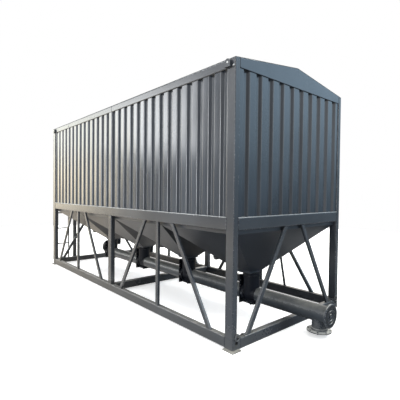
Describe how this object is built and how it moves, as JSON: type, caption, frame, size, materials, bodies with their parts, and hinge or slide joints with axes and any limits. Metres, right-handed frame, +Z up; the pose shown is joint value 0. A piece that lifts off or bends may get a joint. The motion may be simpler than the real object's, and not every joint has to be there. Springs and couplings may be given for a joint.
{
  "type": "horizontal cement silo",
  "caption": "Box-shaped ribbed steel tank in a container-size frame, with pyramid hoppers feeding a screw conveyor that runs out past one end.",
  "frame": {"origin": "on the ground, at the middle of the overall length and width", "axes": "+X along the frame to the end where the conveyor discharges, +Y across to the long side away from the viewer, +Z up"},
  "size_m": [6.7027, 2.488, 3.467],
  "materials": {
    "frame_paint": "semi-gloss grey enamel on welded steel sections",
    "wall_paint": "glossy slate-grey enamel on pressed sheet",
    "hopper_paint": "semi-gloss dark grey enamel on plate",
    "conveyor_paint": "glossy grey enamel on tube and plate",
    "drive_paint": "dark grey enamel on a cast housing",
    "ladder_steel": "light grey enamel on flat and round bar"
  },
  "bodies": {
    "root": {"back_brace_discharge_inner": "frame_paint", "back_brace_discharge_outer": "frame_paint", "back_brace_drive_inner": "frame_paint", "back_brace_drive_outer": "frame_paint", "back_mid_post": "frame_paint", "back_quarter_post_discharge": "frame_paint", "back_quarter_post_drive": "frame_paint", "back_sill": "frame_paint", "back_tie_bar": "frame_paint", "back_top_rail": "frame_paint", "back_waist_rail": "frame_paint", "back_wall": "wall_paint", "conveyor_end_bearing": "conveyor_paint", "conveyor_inlet_1": "conveyor_paint", "conveyor_inlet_2": "conveyor_paint", "conveyor_inlet_3": "conveyor_paint", "conveyor_inlet_4": "conveyor_paint", "conveyor_tube_1": "conveyor_paint", "conveyor_tube_2": "conveyor_paint", "conveyor_tube_3": "conveyor_paint", "conveyor_tube_4": "conveyor_paint", "corner_post_back_discharge": "frame_paint", "corner_post_back_drive": "frame_paint", "corner_post_front_discharge": "frame_paint", "corner_post_front_drive": "frame_paint", "discharge_end_brace_back": "frame_paint", "discharge_end_brace_front": "frame_paint", "discharge_end_sill": "frame_paint", "discharge_end_waist_rail": "frame_paint", "discharge_end_wall": "wall_paint", "discharge_gable_plate": "wall_paint", "discharge_spout": "conveyor_paint", "drive_end_brace_back": "frame_paint", "drive_end_brace_front": "frame_paint", "drive_end_sill": "frame_paint", "drive_end_waist_rail": "frame_paint", "drive_end_wall": "wall_paint", "drive_gable_plate": "wall_paint", "drive_unit": "drive_paint", "fill_pipe": "frame_paint", "front_brace_discharge_inner": "frame_paint", "front_brace_discharge_outer": "frame_paint", "front_brace_drive_inner": "frame_paint", "front_brace_drive_outer": "frame_paint", "front_mid_post": "frame_paint", "front_quarter_post_discharge": "frame_paint", "front_quarter_post_drive": "frame_paint", "front_sill": "frame_paint", "front_top_rail": "frame_paint", "front_waist_rail": "frame_paint", "front_wall": "wall_paint", "hopper_1": "hopper_paint", "hopper_2": "hopper_paint", "hopper_3": "hopper_paint", "hopper_4": "hopper_paint", "ladder": "ladder_steel", "mid_cross_sill": "frame_paint", "roof": "wall_paint"}
  },
  "joints": []
}
